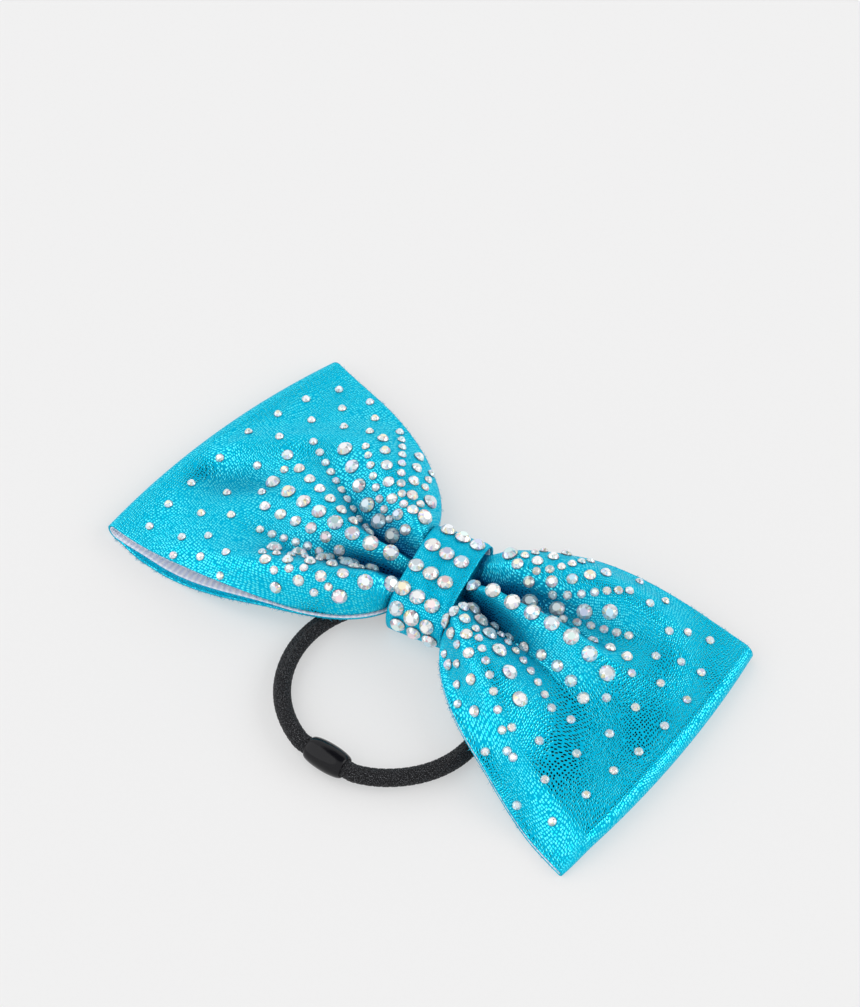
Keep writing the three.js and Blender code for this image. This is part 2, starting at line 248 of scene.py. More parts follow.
def neck_row(along, height, t):
    middle = (KNOT - OUTLINE_MIDDLE)[:, None]
    point = middle + along * ALONG[:, None] + NECK_HALF * t[None, :] * ACROSS[:, None]
    return np.stack([point[0], point[1], height], axis=1)


def outward_shares(steps):
    """Shares of the way out from the band, a little closer together beside it."""
    return (np.arange(steps + 1) / steps) ** 1.1


def ribbon_grid(front_steps, back_steps, fold_steps, neck_steps, width_steps):
    """Points all the way round the ribbon's outer surface, each row's label, and t."""
    t = np.linspace(-1, 1, width_steps + 1)
    front, back = outward_shares(front_steps), outward_shares(back_steps)
    neck = np.linspace(-NECK_EXIT, NECK_EXIT, neck_steps + 2)[1:-1]
    turns = range(1, fold_steps)
    rows = [(("front", -1, u), loop_row(-1, u, t, front_height)) for u in front[::-1]]
    rows += [(("neck", 0, a), neck_row(a, neck_front_height(a, t), t)) for a in neck]
    rows += [(("front", 1, u), loop_row(1, u, t, front_height)) for u in front]
    rows += [(("fold", 1, i), fold_row(1, math.pi * i / fold_steps, t)) for i in turns]
    rows += [(("back", 1, u), loop_row(1, u, t, back_height)) for u in back[::-1]]
    rows += [(("neck", 0, a), neck_row(a, back_height(1, 0.0, t), t)) for a in neck[::-1]]
    rows += [(("back", -1, u), loop_row(-1, u, t, back_height)) for u in back]
    rows += [(("fold", -1, i), fold_row(-1, math.pi * i / fold_steps, t)) for i in turns[::-1]]
    return np.array([row for _, row in rows]), [label for label, _ in rows], t


def grid_normals(grid):
    """Unit outward normals of a grid whose first axis runs round the ribbon."""
    along = np.roll(grid, -1, axis=0) - np.roll(grid, 1, axis=0)
    across = np.gradient(grid, axis=1)
    normal = np.cross(along, across)
    return normal / np.maximum(np.linalg.norm(normal, axis=2, keepdims=True), 1e-9)


def left_crease(reach, t):
    """How far the left loop's crease lifts each point, or lowers it where the dip is."""
    from_start = np.stack([np.full(len(t), reach - LOOP_REACH), HALF_AT_FOLD * t - CREASE_START])
    along = CREASE_DIRECTION @ from_start
    inward = np.array([-CREASE_DIRECTION[1], CREASE_DIRECTION[0]]) @ from_start
    ridge = CREASE_HEIGHT * np.exp(-(inward / CREASE_WIDTH) ** 2) * (1 - ease(20, 38, along))
    dip = CREASE_DEPTH * np.exp(-((inward - DIP_INWARD) / CREASE_WIDTH) ** 2) * (1 - ease(8, 22, along))
    return (ridge - dip) * ease(-10, 2, along) * (1 - ease(61, LOOP_REACH, reach))


def wrinkle(grid, labels, t, back_shows):
    """Gathers beside the band, soft dents, the left crease, and a left back edge that shows below."""
    normal = grid_normals(grid)
    moved = grid.copy()
    for i, (kind, side, value) in enumerate(labels):
        if kind == "front":
            reach = value * LOOP_REACH
            gather = GATHER_DEPTH * (1 - ease(2, 16, reach))
            phase = 1.3 * side + 0.05 * reach
            small = gather * np.cos(math.pi * (9.5 * t + 0.35 * np.sin(3 * t + phase)))
            dent = DENT_DEPTH * ease(20, 50, reach) * np.sin(0.11 * reach + 2.6 * t * side + 0.8)
            dent *= 1 - ease(50, LOOP_REACH, reach)
            dent *= 1 - ease(0.8, 1.0, np.abs(t))
            if side < 0:
                dent += left_crease(reach, t)
            moved[i] += normal[i] * (small + dent)[:, None]
        if kind == "back" and side < 0:
            reach = value * LOOP_REACH
            hold = ease(20, 40, reach) * (1 - ease(58, LOOP_REACH, reach))
            moved[i][:, 1] -= back_shows * hold * ease(0.85, 1.0, -t)
    return moved


def painted_shade_share(labels, t):
    """How much painted shade each point gets, from 0 to 1: more the deeper it lies in a slit between the
    pleats or in the left crease's dip, and a painted shadow along the band's edge.
    """
    shares = np.zeros((len(labels), len(t)))
    for i, (kind, side, value) in enumerate(labels):
        if kind == "front":
            reach = value * LOOP_REACH
            even_pleats = [(place, float(height > 0)) for place, height in LOOPS[side]["pleats"]]
            place = pleat_place(side, reach, t)
            depth = 1 - pleat_relief(even_pleats, place, 0.8)
            slit = depth * (0.6 * (1 - ease(10, 30, reach)) + 0.4 * (1 - ease(20, 50, reach)))
            slit *= 1 - ease(0.66, 0.9, np.abs(t))
            # The left crease's dip gets painted shade too.
            if side < 0:
                slit = np.maximum(slit, 0.4 * np.clip(-left_crease(reach, t) / CREASE_DEPTH, 0, 1))
            # Painted shadow along the band's edge, darker beside the right loop.
            band_edge_shadow = (0.85 if side > 0 else 0.5) * (1 - ease(0.2, 2.6, reach))
            shares[i] = np.maximum(slit, band_edge_shadow)
    return shares


def ribbon_lengths(grid):
    """Distance along and across the cloth at each point of the grid, in mm."""
    along = np.linalg.norm(np.roll(grid, -1, axis=0) - grid, axis=2)
    middle = grid.shape[1] // 2
    u = np.concatenate([[0], np.cumsum(along[:, middle])])[:-1]
    across = np.linalg.norm(np.diff(grid, axis=1), axis=2)
    v = np.concatenate([np.zeros((len(grid), 1)), np.cumsum(across, axis=1)], axis=1)
    v -= v[:, middle:middle + 1]
    return np.repeat(u[:, None], grid.shape[1], axis=1), v


# ---- Mesh helpers ----
# The cloth's inside takes its pattern from this far over, in mm.
INSIDE_SHIFT = 200


def unit(vector):
    return vector / np.linalg.norm(vector)


def mesh_object(name, points, faces, smooth=True):
    """A mesh object from points in mm."""
    mesh = bpy.data.meshes.new(name)
    mesh.from_pydata((np.asarray(points, float) * MM).tolist(), [], [tuple(f) for f in faces])
    mesh.validate()
    mesh.polygons.foreach_set("use_smooth", [smooth] * len(mesh.polygons))
    mesh.update()
    obj = bpy.data.objects.new(name, mesh)
    bpy.context.scene.collection.objects.link(obj)
    return obj


def set_uv(obj, uv):
    """One UV pair for each vertex, in mm of cloth."""
    layer = obj.data.uv_layers.new(name="cloth_mm")
    loops = np.zeros(len(obj.data.loops), np.int32)
    obj.data.loops.foreach_get("vertex_index", loops)
    layer.data.foreach_set("uv", np.asarray(uv, np.float32)[loops].ravel())


def set_vertex_share(obj, name, values):
    """A number for each vertex; vertices after the last one get zero."""
    full = np.zeros(len(obj.data.vertices), np.float32)
    full[:values.size] = values.ravel()
    obj.data.attributes.new(name, "FLOAT", "POINT").data.foreach_set("value", full)


def sheet_mesh(name, grid, depth_out, depth_in, uv):
    """A closed sheet round the stations, between two depths under the outer surface."""
    normal = grid_normals(grid)
    columns, rows = grid.shape[:2]
    outer = (grid - normal * depth_out).reshape(-1, 3)
    inner = (grid - normal * depth_in).reshape(-1, 3)
    faces = []
    shift = columns * rows
    for i in range(columns):
        here = i * rows
        ahead = ((i + 1) % columns) * rows
        for a, b in zip(range(here, here + rows - 1), range(ahead, ahead + rows - 1)):
            faces.append((a, b, b + 1, a + 1))
            faces.append((shift + a, shift + a + 1, shift + b + 1, shift + b))
        faces.append((here, shift + here, shift + ahead, ahead))
        a, b = here + rows - 1, ahead + rows - 1
        faces.append((b, shift + b, shift + a, a))
    obj = mesh_object(name, np.concatenate([outer, inner]), faces)
    pairs = np.stack([uv[0].ravel(), uv[1].ravel()], axis=1)
    set_uv(obj, np.concatenate([pairs, pairs + [0, INSIDE_SHIFT]]))
    return obj


def ring_faces(pairs, sides):
    """Quads between pairs of rings, each ring given by its first point."""
    faces = []
    for here, ahead in pairs:
        for j in range(sides):
            k = (j + 1) % sides
            faces.append((here + j, here + k, ahead + k, ahead + j))
    return faces


def tube_mesh(name, path, radius_at, sides):
    """A tube with flat ends round a path in mm; radius_at(share along, angles) gives its radius."""
    count = len(path)
    tangent = np.gradient(path, axis=0)
    tangent /= np.linalg.norm(tangent, axis=1, keepdims=True)
    sideways = np.cross(tangent, [0.0, 0.0, 1.0])
    sideways /= np.linalg.norm(sideways, axis=1, keepdims=True)
    raised = np.cross(sideways, tangent)
    angles = np.linspace(0, 2 * math.pi, sides, endpoint=False)
    points = []
    for i in range(count):
        radius = radius_at(i / count, angles)
        points.append(path[i] + np.outer(radius * np.cos(angles), sideways[i])
                      + np.outer(radius * np.sin(angles), raised[i]))
    faces = ring_faces([(i * sides, (i + 1) * sides) for i in range(count - 1)], sides)
    faces.append(tuple(range(sides - 1, -1, -1)))
    faces.append(tuple(range((count - 1) * sides, count * sides)))
    return mesh_object(name, np.concatenate(points), faces)


# ---- Material helpers ----
class Nodes:
    """Short calls for building the node tree of a material or of the world."""

    def __init__(self, owner, shader):
        owner.use_nodes = True
        self.owner = owner
        self.tree = owner.node_tree
        self.shader = self.tree.nodes[shader]

    def feed(self, socket, value):
        if isinstance(value, bpy.types.NodeSocket):
            self.tree.links.new(value, socket)
        else:
            socket.default_value = value

    def add(self, kind, inputs=None, **settings):
        """A new node; each input gets a number, a colour or another node's output."""
        node = self.tree.nodes.new(kind)
        for key, value in settings.items():
            setattr(node, key, value)
        for key, value in (inputs or {}).items():
            self.feed(node.inputs[key], value)
        return node

    def math(self, operation, a, b):
        return self.add("ShaderNodeMath", {0: a, 1: b}, operation=operation).outputs[0]

    def vector(self, operation, a, b):
        node = self.add("ShaderNodeVectorMath", {0: a, 1: b}, operation=operation)
        return node.outputs["Value" if operation == "DOT_PRODUCT" else "Vector"]

    def scaled(self, vector, factor):
        inputs = {0: vector, "Scale": factor}
        return self.add("ShaderNodeVectorMath", inputs, operation="SCALE").outputs["Vector"]

    def ramp(self, value, low, high, to_low=0.0, to_high=1.0):
        inputs = {"Value": value, "From Min": low, "From Max": high, "To Min": to_low, "To Max": to_high}
        return self.add("ShaderNodeMapRange", inputs, interpolation_type="SMOOTHSTEP").outputs["Result"]

    def mix(self, factor, a, b):
        node = self.add("ShaderNodeMix", data_type="RGBA")
        self.feed(node.inputs["Factor"], factor)
        for socket, value in ((node.inputs[6], a), (node.inputs[7], b)):
            self.feed(socket, value if isinstance(value, bpy.types.NodeSocket) else (*value, 1.0))
        return node.outputs[2]

    def noise(self, vector, scale, detail=2.0, roughness=0.5, output="Fac"):
        inputs = {"Vector": vector, "Scale": scale, "Detail": detail, "Roughness": roughness}
        return self.add("ShaderNodeTexNoise", inputs).outputs[output]

    def bump(self, height, strength, distance):
        inputs = {"Strength": strength, "Distance": distance, "Height": height}
        return self.add("ShaderNodeBump", inputs).outputs["Normal"]

    def set(self, **values):
        """Feeds the shader's own sockets; Sheen_Weight stands for "Sheen Weight"."""
        for key, value in values.items():
            self.feed(self.shader.inputs[key.replace("_", " ")], value)


def new_material(name):
    return Nodes(bpy.data.materials.new(name), "Principled BSDF")


def cloth_coordinates(nodes):
    return nodes.add("ShaderNodeUVMap", uv_map="cloth_mm").outputs["UV"]


def object_coordinates(nodes):
    """Object coordinates in mm."""
    source = nodes.add("ShaderNodeTexCoord").outputs["Object"]
    return nodes.scaled(source, 1000.0)


# ---- Materials ----
def foil_fabric(name, pitch, dot_radius, warp, weave_scale):
    """Matte cyan stretch cloth with a skin of small mirror-like foil dots in wandering rows."""
    n = new_material(name)
    uv = cloth_coordinates(n)
    drift = n.noise(uv, 0.07, 0.0, output="Color")
    drift = n.vector("SUBTRACT", drift, (0.5, 0.5, 0.5))
    warped = n.vector("ADD", uv, n.scaled(drift, warp))
    cells = n.add("ShaderNodeTexVoronoi", {"Vector": warped, "Scale": 1 / pitch, "Randomness": 0.42},
                  voronoi_dimensions="2D", feature="F1")
    distance = cells.outputs["Distance"]
    dot = n.ramp(distance, dot_radius + 0.04, dot_radius - 0.04)
    chance = n.add("ShaderNodeSeparateColor", {0: cells.outputs["Color"]})
    present = n.ramp(chance.outputs[0], 0.02, 0.06)
    dot = n.math("MULTIPLY", dot, present)

    # Each dot leans its own way, so that neighbours catch different lights.
    lean = n.vector("SUBTRACT", cells.outputs["Color"], (0.5, 0.5, 0.5))
    inside = n.vector("SUBTRACT", n.scaled(warped, 1 / pitch),
                      n.scaled(cells.outputs["Position"], 1 / pitch))
    slope = n.vector("DOT_PRODUCT", lean, inside)
    dome = n.ramp(distance, 0.55, 0.0, 0.0, 0.30)
    height = n.math("ADD", dome, n.math("MULTIPLY", slope, 0.4))
    normal = n.bump(height, 0.5, 0.00030)

    weave = n.noise(uv, weave_scale, 2.0)
    shade = n.noise(uv, 0.05)
    cloth = n.mix(n.ramp(weave, 0.3, 0.7), (0.0, 0.36, 0.58), (0.002, 0.50, 0.72))
    cloth = n.mix(n.ramp(shade, 0.35, 0.65), cloth, (0.0, 0.43, 0.66))
    foil = n.mix(chance.outputs[1], (0.015, 0.72, 0.90), (0.11, 0.90, 0.98))
    # Painted shade: the cloth and the foil dots darken to navy where the vertex attribute marks a slit, the
    # crease's dip or the band's edge.
    painted_shade = n.add("ShaderNodeAttribute", attribute_name="painted_shade").outputs["Fac"]
    cloth = n.mix(painted_shade, cloth, (0.001, 0.045, 0.15))
    foil = n.mix(painted_shade, foil, (0.01, 0.10, 0.22))
    n.set(Base_Color=n.mix(dot, cloth, foil), Metallic=dot,
          Roughness=n.ramp(dot, 0.0, 1.0, 0.62, 0.13), Normal=normal)
    n.set(Specular_IOR_Level=0.02, Sheen_Weight=0.03, Sheen_Roughness=0.4, Sheen_Tint=(0.0, 0.85, 1.0, 1.0))
    return n.owner


def ribbon_material():
    """White ribbon with fine ribs across its width."""
    n = new_material("ribbon_grosgrain")
    uv = cloth_coordinates(n)
    rib = n.add("ShaderNodeTexWave", {"Vector": uv, "Scale": 0.22, "Distortion": 0.3, "Detail": 1.0},
                wave_type="BANDS", bands_direction="X", wave_profile="SIN").outputs["Fac"]
    grain = n.noise(uv, 3.0)
    # Painted shade: the grooves between the ribs go lavender on the white ribbon.
    colour = n.mix(n.math("MULTIPLY", rib, 0.8), (0.66, 0.72, 0.90), (0.96, 0.97, 1.0))
    normal = n.bump(n.math("ADD", rib, n.math("MULTIPLY", grain, 0.3)), 0.6, 0.0003)
    n.set(Base_Color=colour, Normal=normal, Roughness=0.75, Specular_IOR_Level=0.3, Sheen_Weight=0.15)
    return n.owner


def crystal_material():
    """Silver-backed cut glass with faint rainbow tints, one for each facet; each facet's colour also
    carries painted glints and painted shade.
    """
    n = new_material("crystal_facets")
    # The facet colour holds the silver, the tints, the painted glints and the painted shade in the slits.
    tint = n.add("ShaderNodeAttribute", attribute_name="facet").outputs["Color"]
    grime = n.noise(object_coordinates(n), 0.9)
    n.set(Base_Color=tint, Roughness=n.ramp(grime, 0.3, 0.75, 0.10, 0.24), Metallic=0.3,
          Coat_Weight=0.6, Coat_Roughness=0.03, Specular_IOR_Level=0.8)
    return n.owner


def braid_material():
    """Charcoal braid with fine paler flecks where the yarns catch the light."""
    n = new_material("elastic_braid")
    uv = cloth_coordinates(n)
    fleck = n.noise(uv, 4.2, 2.0, 0.9)
    worn = n.noise(uv, 0.25)
    colour = n.mix(n.ramp(fleck, 0.57, 0.68), (0.003, 0.003, 0.004), (0.30, 0.31, 0.33))
    colour = n.mix(n.ramp(worn, 0.3, 0.8, 0.0, 0.25), colour, (0.008, 0.008, 0.010))
    normal = n.bump(fleck, 0.5, 0.0003)
    n.set(Base_Color=colour, Normal=normal, Roughness=n.ramp(fleck, 0.3, 0.7, 0.85, 0.6),
          Specular_IOR_Level=0.2, Sheen_Weight=0.04, Sheen_Roughness=0.5)
    return n.owner


def bead_material():
    """Glossy black plastic, moulded, with faint ripples."""
    n = new_material("bead_gloss_black")
    where = object_coordinates(n)
    ripple = n.noise(where, 0.35)
    fine = n.noise(where, 4.0)
    n.set(Base_Color=n.mix(fine, (0.003, 0.003, 0.004), (0.008, 0.008, 0.010)),
          Roughness=n.ramp(fine, 0.3, 0.7, 0.10, 0.17), Normal=n.bump(ripple, 0.12, 0.0006),
          Specular_IOR_Level=0.2, Coat_Weight=0.05, Coat_Roughness=0.05)
    return n.owner


def yarn_material(name, dark, light, scale, roughness):
    """Plain yarn or rubber, its colour uneven between two shades."""
    n = new_material(name)
    where = object_coordinates(n)
    strand = n.noise(where, scale, 2.0)
    n.set(Base_Color=n.mix(n.ramp(strand, 0.35, 0.65), dark, light),
          Normal=n.bump(strand, 0.4, 0.0002), Roughness=roughness)
    return n.owner


foil_loops = foil_fabric("foil_fabric_loops", pitch=0.69, dot_radius=0.32, warp=7.0, weave_scale=2.2)
foil_band = foil_fabric("foil_fabric_band", pitch=0.60, dot_radius=0.25, warp=4.0, weave_scale=3.0)
ribbon_white = ribbon_material()
crystal_glass = crystal_material()
braid_black = braid_material()
bead_black = bead_material()
thread_white = yarn_material("gathering_thread_white", (0.55, 0.55, 0.58), (0.85, 0.85, 0.88), 3.0, 0.7)
rubber_black = yarn_material("elastic_core_rubber", (0.008, 0.008, 0.009), (0.02, 0.02, 0.021), 0.8, 0.6)
fray_cyan = yarn_material("frayed_yarn_cyan", (0.004, 0.36, 0.58), (0.03, 0.55, 0.75), 1.5, 0.7)


def dress(obj, material, slot, *nodes, body="bow"):
    """Gives a piece its material and body, and hides the CAD nodes that it replaces; slot is not used."""
    obj.data.materials.clear()
    obj.data.materials.append(material)
    if nodes:
        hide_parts(*nodes)
    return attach(obj, body)


def repaint(node, material):
    """Gives a hidden CAD node, which keeps its own mesh, one of the materials above."""
    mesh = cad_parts[node].data
    mesh.materials.clear()
    mesh.materials.append(material)


# ---- Folded ribbon: outer fabric and lining ----
grid, labels, t_values = ribbon_grid(front_steps=110, back_steps=46, fold_steps=16, neck_steps=8,
                                     width_steps=168)
lining_grid = wrinkle(grid, labels, t_values, -LINING_TUCK)
grid = wrinkle(grid, labels, t_values, BACK_SHOWS)
cloth_uv = ribbon_lengths(grid)
outer_normals = grid_normals(grid)
lining_depth = FABRIC_THICKNESS + LAYER_GAP

outer_fabric = sheet_mesh("folded_foil_fabric", grid, 0.0, FABRIC_THICKNESS, cloth_uv)
# Painted shade for the slits, the left crease's dip and the band's edge, stored on the outer fabric's
# vertices.
painted_shades = painted_shade_share(labels, t_values)
set_vertex_share(outer_fabric, "painted_shade", painted_shades)
dress(outer_fabric, foil_loops, "foil_fabric", "outer_fabric")
coarse = (slice(None, None, 2), slice(None, None, 2))
ribbon_lining = sheet_mesh("folded_ribbon_lining", lining_grid[coarse], lining_depth,
                           lining_depth + LINING_THICKNESS, (cloth_uv[0][coarse], cloth_uv[1][coarse]))
dress(ribbon_lining, ribbon_white, "ribbon", "ribbon_lining")


# ---- Frayed cut edges ----
# How many fibres, how far out from the band they start, where their root and middle are along
# them, and how thick they are there.
FIBRES = 900
FRAYS_FROM = 12.0
FIBRE_ROOT, FIBRE_MIDDLE = -0.15, 0.5
ROOT_RADIUS, MIDDLE_RADIUS = 0.055, 0.045


def fibre_points(root, lean, bend, length, normal):
    """Seven points of one fibre: three round its root, three round its middle and its tip."""
    sideways = unit(np.cross(lean, normal))
    raised = np.cross(sideways, lean)
    points = []
    for where, radius in ((FIBRE_ROOT, ROOT_RADIUS), (FIBRE_MIDDLE * length, MIDDLE_RADIUS)):
        centre = root + lean * where + bend * where
        for turn in (0.0, 2 * math.pi / 3, 4 * math.pi / 3):
            points.append(centre + radius * (math.cos(turn) * sideways + math.sin(turn) * raised))
    points.append(root + lean * length + bend * 3 * length)
    return np.array(points)


def frayed_edges(count):
    """Short loose fibres along the cut edges of the foil fabric, thickest along the left back."""
    chooser = np.random.default_rng(3)
    stations = np.array([i for i, (kind, _, _) in enumerate(labels) if kind in ("front", "back")])
    points, faces = [], []
    while len(points) < count:
        i = chooser.choice(stations)
        kind, side, share = labels[i]
        edge, inner = ((0, 1), (-1, -2))[chooser.integers(2)]
        common = 1.0 if kind == "back" and edge == 0 and side < 0 else 0.25
        if share * LOOP_REACH < FRAYS_FROM or chooser.random() > common:
            continue
        to_next = grid[(i + 1) % len(grid), edge] - grid[i, edge]
        root = grid[i, edge] + chooser.random() * to_next
        root = root - outer_normals[i, edge] * chooser.uniform(0.1, 0.4)
        outward = unit(grid[i, edge] - grid[i, inner])
        along = unit(to_next)
        lean = outward + along * chooser.normal(0, 0.9) + outer_normals[i, edge] * chooser.normal(0, 0.25)
        length = chooser.uniform(0.3, 1.1)
        bend = along * chooser.normal(0, 0.15)
        start = 7 * len(points)
        points.append(fibre_points(root, unit(lean), bend, length, outer_normals[i, edge]))
        faces.append((start, start + 2, start + 1))
        for j in range(3):
            k = (j + 1) % 3
            faces.append((start + j, start + k, start + 3 + k, start + 3 + j))
            faces.append((start + 3 + j, start + 3 + k, start + 6))
    return mesh_object("frayed_edge_fibres", np.concatenate(points), faces)


fibres = frayed_edges(FIBRES)
dress(fibres, fray_cyan, "foil_fabric")


# ---- Centre band ----
DOME_STEPS = 96
CORNER_STEPS = 14
FLAT_STEPS = 16
BAND_PINCH = 0.35
BAND_RIPPLE = 0.12


def dome_points(angles):
    """The band's domed top, across and up."""
    def rounded(value):
        return np.sign(value) * np.abs(value) ** (2 / BAND_SHOULDER)
    return np.stack([BAND_HALF * rounded(np.cos(angles)),
                     BAND_WAIST + (BAND_TOP - BAND_WAIST) * rounded(np.sin(angles))], axis=1)


def band_outline():
    """Closed outline of the band, across and up: domed top, rounded lower corners, flat underside."""
    points = list(dome_points(np.linspace(0, math.pi, DOME_STEPS + 1)))
    flat_reach = BAND_HALF - BAND_CORNER
    turn = np.linspace(0, math.pi / 2, CORNER_STEPS + 1)
    for angle in turn[1:]:
        points.append([-(flat_reach + BAND_CORNER * math.cos(angle)), BAND_WAIST * (1 - math.sin(angle))])
    for share in np.linspace(-1, 1, FLAT_STEPS + 1)[1:-1]:
        points.append([flat_reach * share, 0.0])
    for angle in turn[::-1][:-1]:
        points.append([flat_reach + BAND_CORNER * math.cos(angle), BAND_WAIST * (1 - math.sin(angle))])
    return np.array(points)


def knot_to_frame(along, across, up):
    """A point in the knot's own directions, in the frame."""
    along, across, up = np.broadcast_arrays(along, across, up)
    middle = KNOT - OUTLINE_MIDDLE
    return np.stack([middle[0] + along * ALONG[0] + across * ACROSS[0],
                     middle[1] + along * ALONG[1] + across * ACROSS[1], up], axis=-1)


def band_grid(width, length_steps=30):
    """Stations round the band; each runs along the neck from -along to +along."""
    outline = band_outline()
    along = np.linspace(-width / 2, width / 2, length_steps + 1)
    edge = np.abs(along) / (width / 2)
    centre = np.array([0.0, BAND_WAIST])
    rows = []
    for i, (across, up) in enumerate(outline):
        pinch = BAND_PINCH * ease(0.8, 1.0, edge) * ease(1.0, 4.0, up)
        ripple = BAND_RIPPLE * np.sin(0.9 * along + 5 * math.sin(2 * math.pi * i / len(outline)))
        ripple = ripple * ease(3.0, 7.0, up)
        outward = unit([across, up] - centre)
        rows.append(knot_to_frame(along, across + outward[0] * (ripple - pinch),
                                  up + outward[1] * (ripple - pinch)))
    return np.array(rows)


band_points = band_grid(BAND_WIDTH)
band_uv = ribbon_lengths(band_points)
center_band = sheet_mesh("center_band_fabric", band_points, 0.0, FABRIC_THICKNESS, band_uv)
dress(center_band, foil_band, "foil_fabric", "band_fabric")
lining_points = band_grid(BAND_LINING_WIDTH)
band_lining = sheet_mesh("center_band_lining", lining_points, lining_depth,
                         lining_depth + LINING_THICKNESS, ribbon_lengths(lining_points))
dress(band_lining, ribbon_white, "ribbon", "band_lining")


# ---- Crystals ----
# Radius and height of the big, medium and small crystals, how close two may come as a share of
# their radii, and the thickness of the glue.
SIZES = {"B": (1.95, 1.35), "M": (1.45, 1.05), "s": (1.08, 0.85)}
CLOSEST = 0.94
GLUE_DEPTH = 0.05
random_state = np.random.default_rng(7)

# The rings of points of a cut crystal of radius and height 1: radius, height, count and turn.
STONE_RINGS = ((1.0, 0.0, 16, 0.0), (1.0, 0.22, 16, 0.0), (0.80, 0.66, 8, math.pi / 8), (0.52, 1.0, 8, 0.0))


def stone_template():
    """Points and faces of a flat-backed cut crystal of radius and height 1, and each face's kind."""
    rings = []
    for radius, height, count, turn in STONE_RINGS:
        angles = np.arange(count) * 2 * math.pi / count + turn
        rings.append(np.stack([radius * np.cos(angles), radius * np.sin(angles), np.full(count, height)],
                              axis=1))
    faces = [tuple(range(15, -1, -1))]
    kinds = ["back"]
    for i in range(16):
        k = (i + 1) % 16
        faces.append((i, k, 16 + k, 16 + i))
        kinds.append("girdle")
    for i in range(8):
        k = (i + 1) % 8
        girdle = [16 + 2 * i, 16 + 2 * i + 1, 16 + (2 * i + 2) % 16]
        middle, before = 32 + i, 32 + (i - 1) % 8
        faces += [(girdle[0], girdle[1], middle), (girdle[1], girdle[2], middle)]
        kinds += ["lower", "lower"]
        faces += [(girdle[0], middle, 40 + i), (girdle[0], 40 + i, before)]
        kinds += ["kite", "kite"]
        faces.append((middle, 40 + k, 40 + i))
        kinds.append("star")
    faces.append(tuple(range(40, 48)))
    kinds.append("table")
    return np.concatenate(rings), faces, kinds


STONE_POINTS, STONE_FACES, STONE_KINDS = stone_template()
SILVERS = np.array([[1.0, 1.0, 1.0], [0.93, 0.97, 1.0], [0.86, 0.95, 1.0], [1.0, 0.98, 0.94]])
TINTS = np.array([[1.0, 0.90, 0.55], [1.0, 0.62, 0.66], [0.76, 0.72, 1.0], [0.48, 0.84, 1.0],
                  [0.70, 0.97, 0.90]])
TINT_SHARE = 0.34
# Painted shade: crystals in the slits are darkened by this share towards this bluish shade.
PAINTED_SHADE_TINT = np.array([0.03, 0.20, 0.28])
PAINTED_SHADE_SHARE = 0.7
# Painted glints and shade: how bright each kind of facet is, from and to, standing in for what each facet
# reflects; the dark girdle is partly the crystals' dark foil edge and partly painted shade round their
# base.
FACET_PAINTED_LIGHT = {"back": (0.6, 0.75), "girdle": (0.12, 0.34), "lower": (0.42, 1.0), "kite": (0.55, 1.0),
               "star": (0.50, 1.0), "table": (0.80, 1.0)}


def stones_object(name, stones):
    """One mesh of cut crystals; stones is a list of (point, normal, size letter, painted shade share)."""
    points, faces, colours = [], [], []
    for point, normal, size, painted_shade in stones:
        radius, height = SIZES[size]
        radius *= random_state.uniform(0.96, 1.04)
        lean = random_state.normal(0, 0.035, 3)
        up = Vector(np.asarray(normal, float) + lean).normalized()
        turn = Vector((0, 0, 1)).rotation_difference(up) @ Matrix.Rotation(
            random_state.uniform(0, 2 * math.pi), 3, "Z").to_quaternion()
        matrix = np.array(turn.to_matrix())
        local = STONE_POINTS * [radius, radius, height]
        start = len(points) * len(STONE_POINTS)
        base = np.asarray(point) + np.array(up) * GLUE_DEPTH
        points.append(local @ matrix.T + base)
        silver = SILVERS[random_state.integers(len(SILVERS))]
        for face, kind in zip(STONE_FACES, STONE_KINDS):
            faces.append(tuple(start + v for v in face))
            # Each facet's brightness is a painted glint or painted shade.
            low, high = FACET_PAINTED_LIGHT[kind]
            colour = random_state.uniform(low, high) * silver
            if random_state.random() < TINT_SHARE:
                tint = TINTS[random_state.integers(len(TINTS))]
                colour = colour * ((1 + 2 * tint) / 3 if kind == "table" else tint)
            # Painted shade on crystals that lie in a slit.
            shadow = PAINTED_SHADE_SHARE * painted_shade
            colour = (1 - shadow) * colour + shadow * PAINTED_SHADE_TINT * random_state.uniform(0.4, 1.6)
            colours += [(*colour, 1.0)] * len(face)
    obj = mesh_object(name, np.concatenate(points), faces, smooth=False)
    attribute = obj.data.color_attributes.new("facet", "FLOAT_COLOR", "CORNER")
    attribute.data.foreach_set("color", np.array(colours, np.float32).ravel())
    return obj


def front_stations(side):
    """The rows of one loop's front, from the band outwards."""
    stations = [i for i, label in enumerate(labels) if label[:2] == ("front", side)]
    return sorted(stations, key=lambda i: labels[i][2])


def on_front(side, u, t):
    """Point, normal and painted shade share of the front's outer surface on one loop."""
    stations = front_stations(side)
    where = np.interp(u, [labels[i][2] for i in stations], np.arange(len(stations)))
    low = int(min(where, len(stations) - 2))
    part = where - low
    a, b = stations[low], stations[low + 1]
    column = (t + 1) / 2 * (len(t_values) - 1)
    j = int(min(column, len(t_values) - 2))
    side_part = column - j

    def pick(array):
        first = array[a, j] * (1 - side_part) + array[a, j + 1] * side_part
        second = array[b, j] * (1 - side_part) + array[b, j + 1] * side_part
        return first * (1 - part) + second * part

    return pick(grid), unit(pick(outer_normals)), float(pick(painted_shades))


